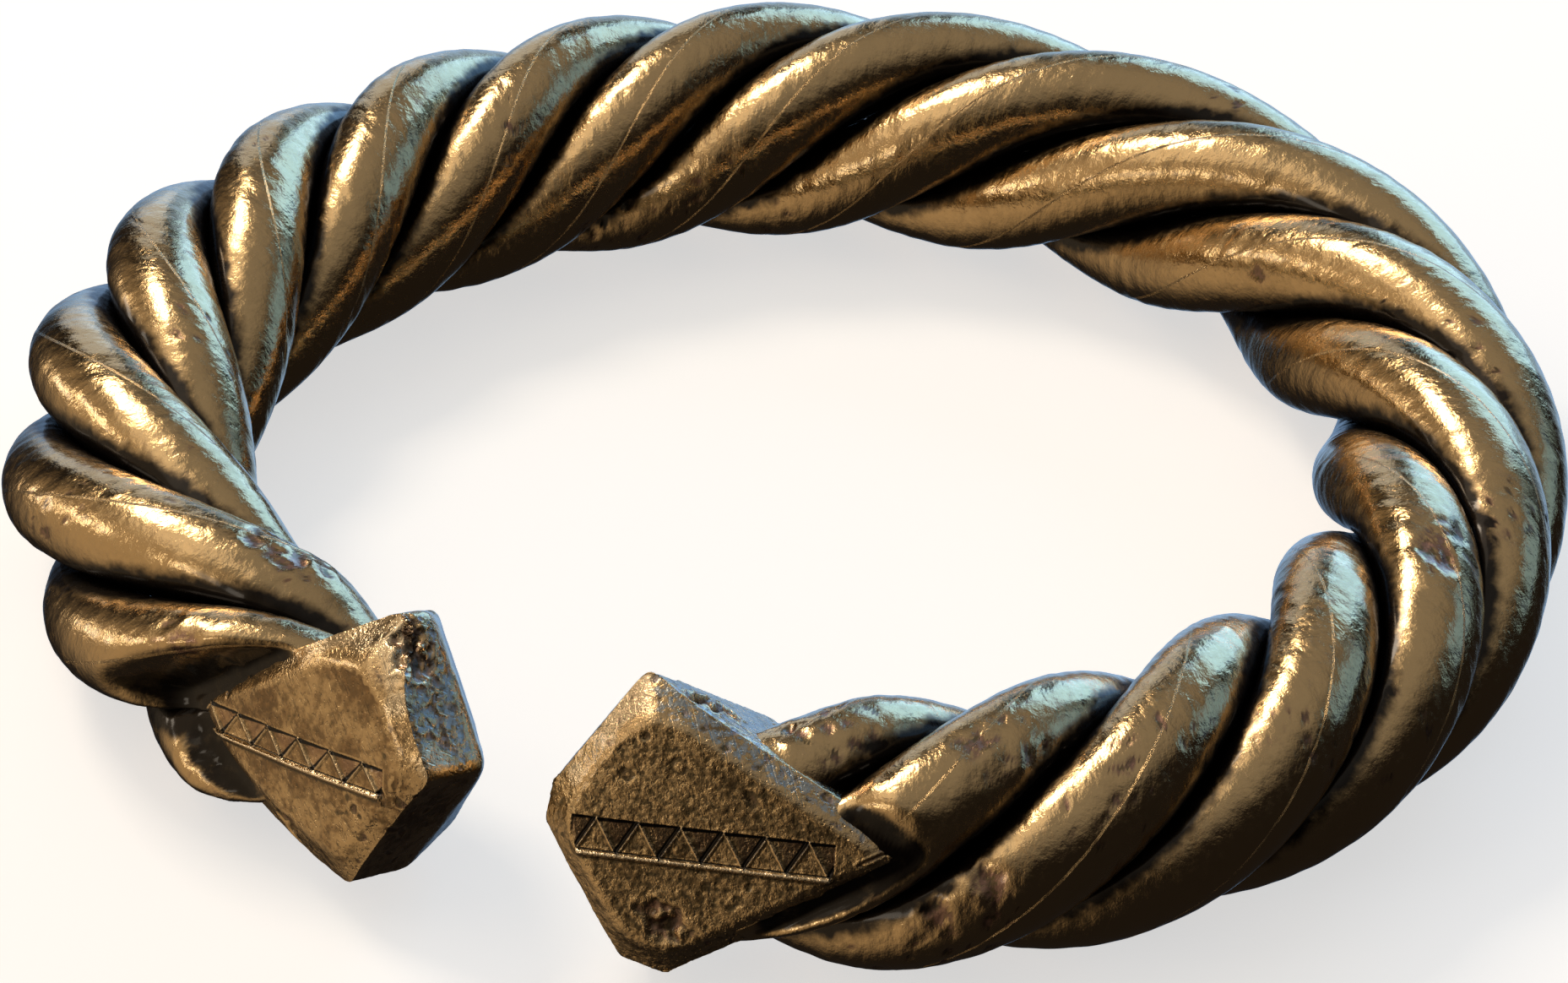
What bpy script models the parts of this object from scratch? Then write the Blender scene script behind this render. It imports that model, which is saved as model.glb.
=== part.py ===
"""Twisted arm ring: four thick bronze rods laid up as a rope, bent into an open ring,
with a faceted knob on each end. Metres, +Z up. The ring lies flat on Z = 0."""
import math

import bmesh
import bpy
from mathutils import Vector

# Ring: the rope's centre line, seen from above, angles anticlockwise from +X
MEAN_RADIUS = 0.03804
OVAL = 0.00155
OVAL_TURN = math.radians(-10.8)
PINCH = 0.00048
PINCH_TURN = math.radians(-56.2)

# Rope: four round rods pressed together
ROD_COUNT = 4
ROD_RADIUS = 0.00324
LAY_SHARE = 1.37
CONTACT_GAP = 0.0004
TWISTS_PER_ROUND = 4.738
LAY_START = math.radians(2.8)
LAY_DRIFT = math.radians(23.0)
LAY_DRIFT_TURN = math.radians(-4.6)
LAY_SWAY = math.radians(2.9)
LAY_SWAY_TURN = math.radians(101.7)

# Ends of the rods, which grow thinner where they enter the knobs
RIGHT_END = math.radians(-98.3)
LEFT_END = math.radians(233.0)
RIGHT_END_SHARE = 0.85
LEFT_END_SHARE = 0.64
TAPER_LENGTH = 0.012

# Knob: a kite-shaped block, its face outwards, its long tail over the rods
KNOB_LENGTH = 0.0210
KNOB_OVERHANG = 0.00065
KNOB_WALL = 0.0053
FACE_MARGIN = 0.0006
KNOB_EDGE = 0.0004
KNOB_GAP = 0.0003

# Hidden inner side of a knob: a smaller facet, set back from the nose
INNER_DEPTH = 0.0048
INNER_NOSE = -0.0004
INNER_TOP_BACK = -0.0042
INNER_TAIL = -0.0090
INNER_FOOT_BACK = -0.0018
INNER_FOOT_SHARE = 0.72

# Row of triangles cut into each knob's face
BAND_DEPTH = 0.00035
BAND_LINE = 0.0004
TRIANGLES = 6
LOZENGE_LENGTH = 0.0030
LOZENGE_HEIGHT = 0.0013

# Facets of the model
ROD_SIDES = 14
ROD_STATIONS = 76
EDGE_SEGMENTS = 2

LAY_RADIUS = LAY_SHARE * ROD_RADIUS
ROPE_RADIUS = LAY_RADIUS + ROD_RADIUS
KNOB_HALF_HEIGHT = ROPE_RADIUS + KNOB_OVERHANG

# Where the knobs sit: place round the ring, direction of the nose, how far the face stands out
# from the centre line and above it as shares of the rope's radius, and how the block is turned on
# the rope. The outline runs round the face: along the nose as shares of the knob's length, up the
# face as shares of its half height, and how deep the side wall is there, as a share of the full
# wall. The rim lies below the face by so many face margins. The row of triangles has its ends
# along the nose and its top and height up the face, in the same shares as the outline.
KNOBS = {
    "left_knob": dict(
        angle=math.radians(233.7), nose=1, stand_out=0.651, rise=0.352,
        yaw=math.radians(-12.5), pitch=math.radians(12.4), roll=math.radians(17.5),
        outline=[(0.2762, 0.02, 1.0), (0.0619, 1.03, 0.9), (-0.7143, -0.01, 0.25),
                 (-0.5333, -0.43, 0.5), (-0.1714, -0.84, 1.0), (-0.0333, -0.94, 1.0)],
        rim_depth=1.0, inner_top=0.72,
        band_tail=-0.6524, band_nose=0.1190, band_top=0.024, band_height=0.192, lozenge=None,
    ),
    "right_knob": dict(
        angle=math.radians(-100.4), nose=-1, stand_out=0.560, rise=0.443,
        yaw=math.radians(0.7), pitch=math.radians(-0.9), roll=math.radians(22.6),
        outline=[(0.3000, 0.14, 1.0), (0.0667, 0.97, 0.45), (-0.7190, -0.07, 0.25),
                 (-0.0286, -1.10, 1.0), (0.0952, -1.02, 1.0), (0.3143, -0.13, 1.0)],
        rim_depth=2.0, inner_top=0.45,
        band_tail=-0.4619, band_nose=0.2190, band_top=-0.012, band_height=0.240, lozenge=-0.5619,
    ),
}


def clear_scene():
    for thing in list(bpy.data.objects):
        bpy.data.objects.remove(thing, do_unlink=True)


def bronze(name, colour, roughness):
    material = bpy.data.materials.new(name)
    material.use_nodes = True
    shader = material.node_tree.nodes["Principled BSDF"]
    shader.inputs["Base Color"].default_value = (*colour, 1.0)
    shader.inputs["Roughness"].default_value = roughness
    shader.inputs["Metallic"].default_value = 1.0
    return material


def centre_radius(angle):
    oval = OVAL * math.cos(2 * (angle - OVAL_TURN))
    pinch = PINCH * math.cos(3 * (angle - PINCH_TURN))
    return MEAN_RADIUS + oval + pinch


def centre_point(angle):
    radius = centre_radius(angle)
    return Vector((radius * math.cos(angle), radius * math.sin(angle), 0.0))


def rope_axes(angle):
    """The centre line's point, its direction, and the direction out of the ring."""
    step = 0.001
    along = (centre_point(angle + step) - centre_point(angle - step)).normalized()
    return centre_point(angle), along, along.cross(Vector((0, 0, 1)))


def lay_angle(angle):
    """How far the rope has turned about its own centre line, with the maker's unevenness."""
    drift = LAY_DRIFT * math.cos(2 * (angle - LAY_DRIFT_TURN))
    sway = LAY_SWAY * math.cos(angle - LAY_SWAY_TURN)
    return LAY_START + TWISTS_PER_ROUND * angle + drift + sway


def lay_slope(angle):
    """Slant of the rods against the rope, from the turn in one small step."""
    step = 0.001
    turned = lay_angle(angle + step) - lay_angle(angle - step)
    travelled = 2 * step * centre_radius(angle)
    return math.atan(LAY_RADIUS * turned / travelled)


def grown(distance, end_share):
    """Size of the rope this far from an end where it has this share of its full size."""
    share = max(0.0, min(1.0, distance / TAPER_LENGTH))
    return end_share + (1 - end_share) * share * share * (3 - 2 * share)


def rope_share(angle):
    """Size of the rope here: full, and thinner towards both ends."""
    right = grown((angle - RIGHT_END) * MEAN_RADIUS, RIGHT_END_SHARE)
    left = grown((LEFT_END - angle) * MEAN_RADIUS, LEFT_END_SHARE)
    return min(right, left)


def section_reach(turn, slope, share):
    """Distance from a rod's middle to its skin: an oval, flattened where it meets its neighbours."""
    across = ROD_RADIUS * share / math.cos(slope)
    oval = 1 / math.hypot(math.cos(turn) / (ROD_RADIUS * share), math.sin(turn) / across)
    spread = math.pi / ROD_COUNT
    room = LAY_RADIUS * share * math.sin(spread) - CONTACT_GAP / 2
    lean = abs(math.sin(turn)) * math.cos(spread) - math.cos(turn) * math.sin(spread)
    if lean <= 0 or room / lean >= oval:
        return oval
    return room / lean


def rod_section(angle, rod):
    middle, along, outward = rope_axes(angle)
    up = Vector((0, 0, 1))
    share = rope_share(angle)
    slope = lay_slope(angle)
    lay = lay_angle(angle) + rod * 2 * math.pi / ROD_COUNT
    away = outward * math.cos(lay) + up * math.sin(lay)
    beside = up * math.cos(lay) - outward * math.sin(lay)
    heart = middle + away * LAY_RADIUS * share
    ring = []
    for side in range(ROD_SIDES):
        turn = 2 * math.pi * side / ROD_SIDES - lay
        reach = section_reach(turn, slope, share)
        ring.append(heart + away * reach * math.cos(turn) + beside * reach * math.sin(turn))
    return ring


def finish_mesh(bm, name, material, parent):
    bmesh.ops.recalc_face_normals(bm, faces=bm.faces[:])
    mesh = bpy.data.meshes.new(name)
    bm.to_mesh(mesh)
    bm.free()
    thing = bpy.data.objects.new(name, mesh)
    bpy.context.collection.objects.link(thing)
    if material is not None:
        mesh.materials.append(material)
    thing.parent = parent
    return thing


def make_rod(rod, material, parent):
    bm = bmesh.new()
    rings = []
    for station in range(ROD_STATIONS):
        angle = RIGHT_END + (LEFT_END - RIGHT_END) * station / (ROD_STATIONS - 1)
        rings.append([bm.verts.new(point) for point in rod_section(angle, rod)])
    for first, second in zip(rings, rings[1:]):
        for side in range(ROD_SIDES):
            after = (side + 1) % ROD_SIDES
            bm.faces.new((first[side], first[after], second[after], second[side]))
    bm.faces.new(rings[0])
    bm.faces.new(rings[-1])
    thing = finish_mesh(bm, f"rod_{rod + 1}", material, parent)
    thing.data.shade_smooth()
    thing.data.set_sharp_from_angle(angle=math.radians(50))
    return thing


class KnobFrame:
    """Axes of one knob: nose along the ring's end, face outwards, and up across the face."""

    def __init__(self, spec):
        point, along, outward = rope_axes(spec["angle"])
        self.nose_sign = spec["nose"]
        heading = math.atan2(along.y, along.x)
        if self.nose_sign < 0:
            heading += math.pi
        heading += spec["yaw"]
        pitch = spec["pitch"]
        self.nose = Vector((
            math.cos(heading) * math.cos(pitch),
            math.sin(heading) * math.cos(pitch),
            math.sin(pitch),
        ))
        level = Vector((math.sin(heading), -math.cos(heading), 0.0)) * self.nose_sign
        raised = level.cross(self.nose).normalized()
        if raised.z < 0:
            raised.negate()
        roll = spec["roll"]
        self.face = level * math.cos(roll) + raised * math.sin(roll)
        self.up = raised * math.cos(roll) - level * math.sin(roll)
        direction = point.normalized()
        raise_by = Vector((0, 0, spec["rise"] * ROPE_RADIUS))
        self.middle = point + direction * spec["stand_out"] * ROPE_RADIUS + raise_by

    def place(self, nose, up, depth=0.0):
        """A point of the knob: along the nose, up the face, and down from the face."""
        return self.middle + self.nose * nose + self.up * up - self.face * depth


def inset(outline, width):
    """The outline moved inwards by this width, side by side, corner by corner."""
    corners = [Vector(corner) for corner in outline]
    moved = []
    for before, corner, after in zip(corners[-1:] + corners[:-1], corners, corners[1:] + corners[:1]):
        arriving = (corner - before).normalized()
        leaving = (after - corner).normalized()
        inward = Vector((-arriving.y, arriving.x)) + Vector((-leaving.y, leaving.x))
        turn = inward.length_squared / 2
        moved.append(corner + inward * (width / turn))
    return moved


def knob_layers(frame, spec):
    """Corners of the outer face, of its rim, of the foot of the side wall, and of the hidden inner face."""
    outline = [(nose * KNOB_LENGTH, share * KNOB_HALF_HEIGHT) for nose, share, wall in spec["outline"]]
    walls = [wall * KNOB_WALL for nose, share, wall in spec["outline"]]
    face = [(nose, up, 0) for nose, up in inset(outline, FACE_MARGIN)]
    rim = [(nose, up, spec["rim_depth"] * FACE_MARGIN) for nose, up in outline]
    foot = [(nose, up, wall) for (nose, up), wall in zip(outline, walls)]
    low = KNOB_WALL + INNER_DEPTH
    inner = [(INNER_NOSE, 0, low), (INNER_TOP_BACK, spec["inner_top"] * KNOB_HALF_HEIGHT, low),
             (INNER_TAIL, 0, low), (INNER_FOOT_BACK, -INNER_FOOT_SHARE * KNOB_HALF_HEIGHT, low)]
    return [[frame.place(*corner) for corner in layer] for layer in (face, rim, foot, inner)]


def hull(points, name, material, parent):
    bm = bmesh.new()
    for point in points:
        bm.verts.new(point)
    made = bmesh.ops.convex_hull(bm, input=bm.verts[:])
    spare = {part for part in made["geom_interior"] + made["geom_unused"]
             if isinstance(part, bmesh.types.BMVert)}
    bmesh.ops.delete(bm, geom=list(spare), context="VERTS")
    bmesh.ops.dissolve_limit(bm, angle_limit=0.01, verts=bm.verts[:], edges=bm.edges[:])
    return finish_mesh(bm, name, material, parent)


def as_cutter(thing):
    thing.hide_render = True
    thing.display_type = "WIRE"
    return thing


def cut(thing, cutter):
    modifier = thing.modifiers.new("cut_" + cutter.name, "BOOLEAN")
    modifier.operation = "DIFFERENCE"
    modifier.solver = "EXACT"
    modifier.object = cutter


def room_for_knob(name, frame, spec, parent):
    """The space that the rods leave free for a knob: its block with the gap all round,
    run on past its outer face."""
    layers = knob_layers(frame, spec)
    above = [corner + frame.face * ROPE_RADIUS / 2 for corner in layers[1]]
    directions = [Vector((x, y, z)).normalized()
                  for x in (-1, 0, 1) for y in (-1, 0, 1) for z in (-1, 0, 1) if (x, y, z) != (0, 0, 0)]
    reach = KNOB_GAP * 1.1
    points = [corner + direction * reach
              for layer in layers + [above] for corner in layer for direction in directions]
    return as_cutter(hull(points, name + "_room", None, parent))


def prism(outline, frame, depth, name, parent):
    """A cutter with this outline, across the plane of the knob's face."""
    bm = bmesh.new()
    lid = [bm.verts.new(frame.place(nose, up, -depth)) for nose, up in outline]
    sole = [bm.verts.new(frame.place(nose, up, depth)) for nose, up in outline]
    count = len(outline)
    for index in range(count):
        after = (index + 1) % count
        bm.faces.new((lid[index], lid[after], sole[after], sole[index]))
    bm.faces.new(lid)
    bm.faces.new(sole)
    return as_cutter(finish_mesh(bm, name, None, parent))


def band_box(spec):
    """Start and end of the band along the nose, and its top and foot up the face."""
    top = spec["band_top"] * KNOB_HALF_HEIGHT
    foot = top - spec["band_height"] * KNOB_HALF_HEIGHT
    return spec["band_tail"] * KNOB_LENGTH, spec["band_nose"] * KNOB_LENGTH, top, foot


def band_comb(spec):
    """A line along the top of the band, with the sunk triangles hanging from it, half ones at its ends."""
    start, end, top, foot = band_box(spec)
    pitch = (end - start) / TRIANGLES
    low = top - BAND_LINE
    half = 0.43 * pitch
    outline = [(start, top), (end, top), (end, foot), (end - half, low)]
    for index in reversed(range(1, TRIANGLES)):
        middle = start + index * pitch
        outline += [(middle + half, low), (middle, foot), (middle - half, low)]
    outline += [(start + half, low), (start, foot)]
    return outline


def foot_line(spec):
    start, end, top, foot = band_box(spec)
    high = foot - BAND_LINE / 2
    return [(start, high), (end, high), (end, high - BAND_LINE), (start, high - BAND_LINE)]


def lozenge(spec):
    start, end, top, foot = band_box(spec)
    middle = (top + foot) / 2
    right = spec["lozenge"] * KNOB_LENGTH
    return [(right, middle), (right - LOZENGE_LENGTH / 2, middle + LOZENGE_HEIGHT / 2),
            (right - LOZENGE_LENGTH, middle), (right - LOZENGE_LENGTH / 2, middle - LOZENGE_HEIGHT / 2)]


def make_knob(name, spec, material, parent):
    frame = KnobFrame(spec)
    corners = [corner for layer in knob_layers(frame, spec) for corner in layer]
    knob = hull(corners, name, material, parent)
    edge = knob.modifiers.new("worn_edges", "BEVEL")
    edge.width = KNOB_EDGE
    edge.segments = EDGE_SEGMENTS
    edge.limit_method = "ANGLE"
    edge.angle_limit = math.radians(15)
    cut(knob, prism(band_comb(spec), frame, BAND_DEPTH, name + "_triangles", parent))
    cut(knob, prism(foot_line(spec), frame, BAND_DEPTH, name + "_foot_line", parent))
    if spec["lozenge"] is not None:
        cut(knob, prism(lozenge(spec), frame, BAND_DEPTH, name + "_lozenge", parent))
    return knob, room_for_knob(name, frame, spec, parent)


def stand_on_floor(things, parent):
    """Brings the finished ring's underside to Z = 0 and its middle over the origin."""
    bpy.context.view_layer.update()
    graph = bpy.context.evaluated_depsgraph_get()
    points = []
    for thing in things:
        shape = thing.evaluated_get(graph)
        points += [shape.matrix_world @ vertex.co for vertex in shape.data.vertices]
    low = [min(point[axis] for point in points) for axis in range(3)]
    high = [max(point[axis] for point in points) for axis in range(3)]
    parent.location = (-(low[0] + high[0]) / 2, -(low[1] + high[1]) / 2, -low[2])
    bpy.context.view_layer.update()


def main():
    clear_scene()
    centre = bpy.data.objects.new("ring_centre", None)
    bpy.context.collection.objects.link(centre)
    rod_bronze = bronze("rod_bronze", (0.42, 0.25, 0.10), 0.34)
    knob_bronze = bronze("knob_bronze", (0.27, 0.17, 0.08), 0.42)
    rooms = []
    things = []
    for name, spec in KNOBS.items():
        knob, room = make_knob(name, spec, knob_bronze, centre)
        things.append(knob)
        rooms.append(room)
    for rod in range(ROD_COUNT):
        thing = make_rod(rod, rod_bronze, centre)
        for room in rooms:
            cut(thing, room)
        things.append(thing)
    stand_on_floor(things, centre)


main()
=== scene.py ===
# %% [markdown]
# Twisted arm ring: the looks.
# The ring is four thick bronze rods laid up as a rope and bent round, with a faceted knob on
# each end. The solid model comes in first as a fixed frame. Every piece made below stands for
# one of its solids, in the same place and at the same size, with the finer surface on it.

# %% Load the frame
import math

import bpy
import numpy as np
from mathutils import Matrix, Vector, noise
from mathutils.bvhtree import BVHTree


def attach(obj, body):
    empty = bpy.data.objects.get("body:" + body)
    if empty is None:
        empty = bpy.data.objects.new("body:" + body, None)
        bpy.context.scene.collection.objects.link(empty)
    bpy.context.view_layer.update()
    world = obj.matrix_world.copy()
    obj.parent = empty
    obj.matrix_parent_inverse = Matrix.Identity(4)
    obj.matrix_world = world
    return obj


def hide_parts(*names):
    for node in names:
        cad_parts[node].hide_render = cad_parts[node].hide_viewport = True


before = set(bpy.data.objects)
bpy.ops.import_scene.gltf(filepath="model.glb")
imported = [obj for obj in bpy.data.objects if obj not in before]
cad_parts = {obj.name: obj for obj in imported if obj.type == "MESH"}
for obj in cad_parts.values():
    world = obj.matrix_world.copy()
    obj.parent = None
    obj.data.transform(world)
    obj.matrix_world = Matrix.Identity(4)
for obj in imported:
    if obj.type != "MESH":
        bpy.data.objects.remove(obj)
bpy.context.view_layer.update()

MM = 0.001
print("solids in the frame:", sorted(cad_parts))

# %% [markdown]
# Helpers for meshes.
# A mesh is a list of points, and numpy moves thousands of them at once. These helpers read a
# mesh's points and normals as arrays, write them back, and store a number for each point. Such
# a number is an attribute, which a material can read later.

# %% Mesh helpers


def points_of(mesh):
    flat = np.empty(len(mesh.vertices) * 3)
    mesh.vertices.foreach_get("co", flat)
    return flat.reshape(-1, 3)


def move_points(mesh, points):
    mesh.vertices.foreach_set("co", points.ravel())
    mesh.update()


def normals_of(mesh):
    flat = np.empty(len(mesh.vertices) * 3)
    mesh.vertex_normals.foreach_get("vector", flat)
    return flat.reshape(-1, 3)


def edges_of(mesh):
    flat = np.empty(len(mesh.edges) * 2, dtype=np.int32)
    mesh.edges.foreach_get("vertices", flat)
    return flat.reshape(-1, 2)


def store(mesh, name, values):
    """One number for each point, which a material reads by its name."""
    layer = mesh.attributes.new(name, "FLOAT", "POINT")
    layer.data.foreach_set("value", np.clip(values, 0.0, 1.0).astype(np.float32))


def smooth_step(low, high, values):
    share = np.clip((values - low) / (high - low), 0.0, 1.0)
    return share * share * (3 - 2 * share)


def grain(points, size, seed):
    """Smooth random numbers, about -1 to 1, with lumps of this size in metres."""
    scaled = points * (1 / size) + seed
    return np.array([noise.noise(Vector(point)) for point in scaled])


def deselect_all():
    bpy.ops.object.select_all(action="DESELECT")


def select_only(thing):
    deselect_all()
    thing.select_set(True)
    bpy.context.view_layer.objects.active = thing


def triangle_count(thing):
    return sum(len(face.vertices) - 2 for face in thing.data.polygons)


# %% [markdown]
# The rope's path.
# The ring's centre line is a slightly pinched oval, and each rod winds round it like a strand
# of rope. The maker bent it by hand, so the twist is a little uneven. The same formulas made
# the solid rods, which is why the finer rods fall exactly on them.

# %% Path of the rope
RING_MIDDLE = np.array((0.378, -0.243, 7.625)) * MM
MEAN_RADIUS = 38.04 * MM
OVAL = 1.55 * MM
OVAL_TURN = math.radians(-10.8)
PINCH = 0.48 * MM
PINCH_TURN = math.radians(-56.2)
ROD_COUNT = 4
ROD_RADIUS = 3.24 * MM
LAY_RADIUS = 1.37 * ROD_RADIUS
TWISTS_PER_ROUND = 4.738
LAY_START = math.radians(2.8)
LAY_DRIFT = math.radians(23.0)
LAY_DRIFT_TURN = math.radians(-4.6)
LAY_SWAY = math.radians(2.9)
LAY_SWAY_TURN = math.radians(101.7)
RIGHT_END = math.radians(-98.3)
LEFT_END = math.radians(233.0)
RIGHT_END_SHARE = 0.85
LEFT_END_SHARE = 0.64
TAPER_LENGTH = 12 * MM


def centre_points(angles):
    radius = MEAN_RADIUS + OVAL * np.cos(2 * (angles - OVAL_TURN))
    radius = radius + PINCH * np.cos(3 * (angles - PINCH_TURN))
    level = np.zeros_like(angles)
    return np.stack((radius * np.cos(angles), radius * np.sin(angles), level), axis=1)


def lay_angles(angles):
    drift = LAY_DRIFT * np.cos(2 * (angles - LAY_DRIFT_TURN))
    sway = LAY_SWAY * np.cos(angles - LAY_SWAY_TURN)
    return LAY_START + TWISTS_PER_ROUND * angles + drift + sway


def rope_shares(angles):
    """Thickness of the rope: full, and thinner towards the knobs."""
    right = smooth_step(0.0, TAPER_LENGTH, (angles - RIGHT_END) * MEAN_RADIUS)
    left = smooth_step(0.0, TAPER_LENGTH, (LEFT_END - angles) * MEAN_RADIUS)
    return np.minimum(RIGHT_END_SHARE + (1 - RIGHT_END_SHARE) * right,
                      LEFT_END_SHARE + (1 - LEFT_END_SHARE) * left)


angles = np.linspace(RIGHT_END, LEFT_END, 2000)
steps = np.linalg.norm(np.diff(centre_points(angles), axis=0), axis=1)
print(f"centre line of the rope: {steps.sum() / MM:.0f} mm")

# %% [markdown]
# A rod, first as a straight bar.
# A cast or hammered rod could be a bevelled curve, but a curve gives no say over each point.
# A cylinder that is cut across many times in edit mode has a point wherever a dent, a ripple
# or a pit may be needed. Only its long edges are selected for each cut, so it gets no slivers.

# %% Straight bar
ROD_SIDES = 72
BAR_LENGTH = 251 * MM
FIRST_CUTS = 99
SECOND_CUTS = 9
ROD_STATIONS = (FIRST_CUTS + 1) * (SECOND_CUTS + 1) + 1


def cut_across(bar, cuts):
    points = points_of(bar.data)
    ends = edges_of(bar.data)
    rise = np.abs(points[ends[:, 0], 2] - points[ends[:, 1], 2])
    long_ones = rise > BAR_LENGTH / ROD_STATIONS / 2
    bar.data.vertices.foreach_set("select", np.zeros(len(bar.data.vertices), dtype=bool))
    bar.data.polygons.foreach_set("select", np.zeros(len(bar.data.polygons), dtype=bool))
    bar.data.edges.foreach_set("select", long_ones)
    bpy.ops.object.mode_set(mode="EDIT")
    bpy.ops.mesh.subdivide(number_cuts=cuts)
    bpy.ops.object.mode_set(mode="OBJECT")


def straight_bar(name):
    deselect_all()
    bpy.ops.mesh.primitive_cylinder_add(vertices=ROD_SIDES, radius=ROD_RADIUS, depth=BAR_LENGTH,
                                        end_fill_type="NGON")
    bar = bpy.context.object
    bar.name = name
    bar.data.name = name
    bpy.context.tool_settings.mesh_select_mode = (False, True, False)
    cut_across(bar, FIRST_CUTS)
    cut_across(bar, SECOND_CUTS)
    return bar


pattern_bar = straight_bar("pattern_bar")
print("pattern bar:", len(pattern_bar.data.vertices), "points")

# %% [markdown]
# Laying the bars up as a rope.
# Each point of a bar knows how far along it sits and at what turn round it. The path formulas
# carry that pair to its place in the ring. Neighbouring rods press against each other, so a
# rod's section is an oval with two flats, which meet those of its neighbours. Points crowd
# towards the side that shows.

# %% Bend a bar round the ring
CROWDING = 0.2
FLAT_ROUNDING = 0.12 * ROD_RADIUS


def bar_places(bar):
    """For each point, its station along the bar and its side round it."""
    points = points_of(bar.data)
    station = np.rint((points[:, 2] / BAR_LENGTH + 0.5) * (ROD_STATIONS - 1)).astype(int)
    turn = np.arctan2(points[:, 1], points[:, 0]) / (2 * math.pi)
    side = np.rint(-turn * ROD_SIDES).astype(int) % ROD_SIDES
    return station, side


def section_reach(turns, slopes, shares):
    """Distance from a rod's heart to its skin, for each station and each side."""
    across = ROD_RADIUS * shares / np.cos(slopes)
    oval = 1 / np.hypot(np.cos(turns) / (ROD_RADIUS * shares), np.sin(turns) / across)
    spread = math.pi / ROD_COUNT
    room = LAY_RADIUS * shares * math.sin(spread)
    lean = np.abs(np.sin(turns)) * math.cos(spread) - np.cos(turns) * math.sin(spread)
    flat = np.where(lean > 0.01, room / np.maximum(lean, 0.01), np.inf)
    gap = np.clip((flat - oval) / FLAT_ROUNDING, -1, 1)
    rounded = np.where(np.abs(gap) < 1, FLAT_ROUNDING * (1 - np.abs(gap)) ** 2 / 4, 0)
    return np.minimum(oval, flat) - rounded


def rod_grid(rod):
    """Hearts, skin directions and reaches of one rod, as a grid of stations by sides."""
    angles = np.linspace(RIGHT_END, LEFT_END, ROD_STATIONS)
    step = 0.001
    middle = centre_points(angles)
    along = centre_points(angles + step) - centre_points(angles - step)
    travelled = np.linalg.norm(along, axis=1)
    along = along / travelled[:, None]
    up = np.array((0.0, 0.0, 1.0))
    outward = np.cross(along, up)
    turned = lay_angles(angles + step) - lay_angles(angles - step)
    slopes = np.arctan(LAY_RADIUS * turned / travelled)[:, None]
    shares = rope_shares(angles)[:, None]
    lay = (lay_angles(angles) + rod * 2 * math.pi / ROD_COUNT)[:, None]
    away = outward * np.cos(lay) + up * np.sin(lay)
    beside = up * np.cos(lay) - outward * np.sin(lay)
    hearts = middle + away * LAY_RADIUS * shares + RING_MIDDLE
    wheel = 2 * math.pi * np.arange(ROD_SIDES) / ROD_SIDES
    turns = (wheel - CROWDING * np.sin(wheel))[None, :]
    reach = section_reach(turns, slopes, shares)
    skin = away[:, None, :] * np.cos(turns)[..., None] + beside[:, None, :] * np.sin(turns)[..., None]
    strand = np.linalg.norm(np.diff(hearts, axis=0), axis=1)
    length = np.concatenate(([0.0], np.cumsum(strand)))
    return hearts, skin, reach, turns, length


ROPE_THICKNESS = 2 * (LAY_RADIUS + ROD_RADIUS)
print(f"a rod is {2 * ROD_RADIUS / MM:.1f} mm thick, and the rope {ROPE_THICKNESS / MM:.1f} mm")

# %% [markdown]
# The worn skin of a rod.
# The bars were hammered round before they were twisted, which left shallow ripples across
# them. Long years in the ground added broad unevenness and patches of pits. All of it is real
# relief of about a tenth of a millimetre, mostly pushed inwards, so that the size stays.

# %% Hammer marks and pits
RIPPLE_LENGTH = 1.1 * MM
RIPPLE_WIDTH = 3.2 * MM
RIPPLE_DEPTH = 0.045 * MM
SWELL_SIZE = 6.0 * MM
SWELL_DEPTH = 0.060 * MM
PIT_SIZE = 0.75 * MM
PIT_DEPTH = 0.11 * MM
PIT_PATCH = 9.0 * MM
LUMP_SIZE = 1.6 * MM
LUMP_DEPTH = 0.14 * MM
SHEET_SPACING = 40 * MM


def pitting(points, amount, seed, eaten):
    """Depth of the pits at each point, from 0 to 1, in patches and where the skin is eaten."""
    patch = smooth_step(0.28 - amount, 0.62 - amount, grain(points, PIT_PATCH, seed))
    patch = np.maximum(patch, eaten)
    speck = grain(points, PIT_SIZE, seed + 17)
    return patch * smooth_step(0.30 - 0.22 * eaten, 0.62 - 0.15 * eaten, speck)


def rolled_sheet(length, turns, rod):
    """Each point's place on a flat sheet that is rolled up into the bar."""
    around = turns * ROD_RADIUS
    return np.stack(np.broadcast_arrays(around, length[:, None], rod * SHEET_SPACING), axis=2)


def hammered(length, turns, rod):
    """Ripples across the bar."""
    sheet = rolled_sheet(length, turns, rod).reshape(-1, 3)
    size = np.array((1 / RIPPLE_WIDTH, 1 / RIPPLE_LENGTH, 1 / RIPPLE_WIDTH))
    waves = np.array([noise.noise(Vector(place)) for place in sheet * size])
    return waves.reshape(len(length), ROD_SIDES)


def hollow_of(mesh, rounds):
    """How much each point lies in a hollow (positive) or on a rise (negative), in metres."""
    points = points_of(mesh)
    ends = edges_of(mesh)
    count = np.bincount(ends.ravel(), minlength=len(points))[:, None]
    even = points.copy()
    for _ in range(rounds):
        total = np.zeros_like(even)
        np.add.at(total, ends[:, 0], even[ends[:, 1]])
        np.add.at(total, ends[:, 1], even[ends[:, 0]])
        even = total / np.maximum(count, 1)
    return ((even - points) * normals_of(mesh)).sum(axis=1)


print(f"pits are {PIT_DEPTH / MM:.2f} mm deep at most, and ripples {RIPPLE_LENGTH / MM:.1f} mm long")

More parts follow.
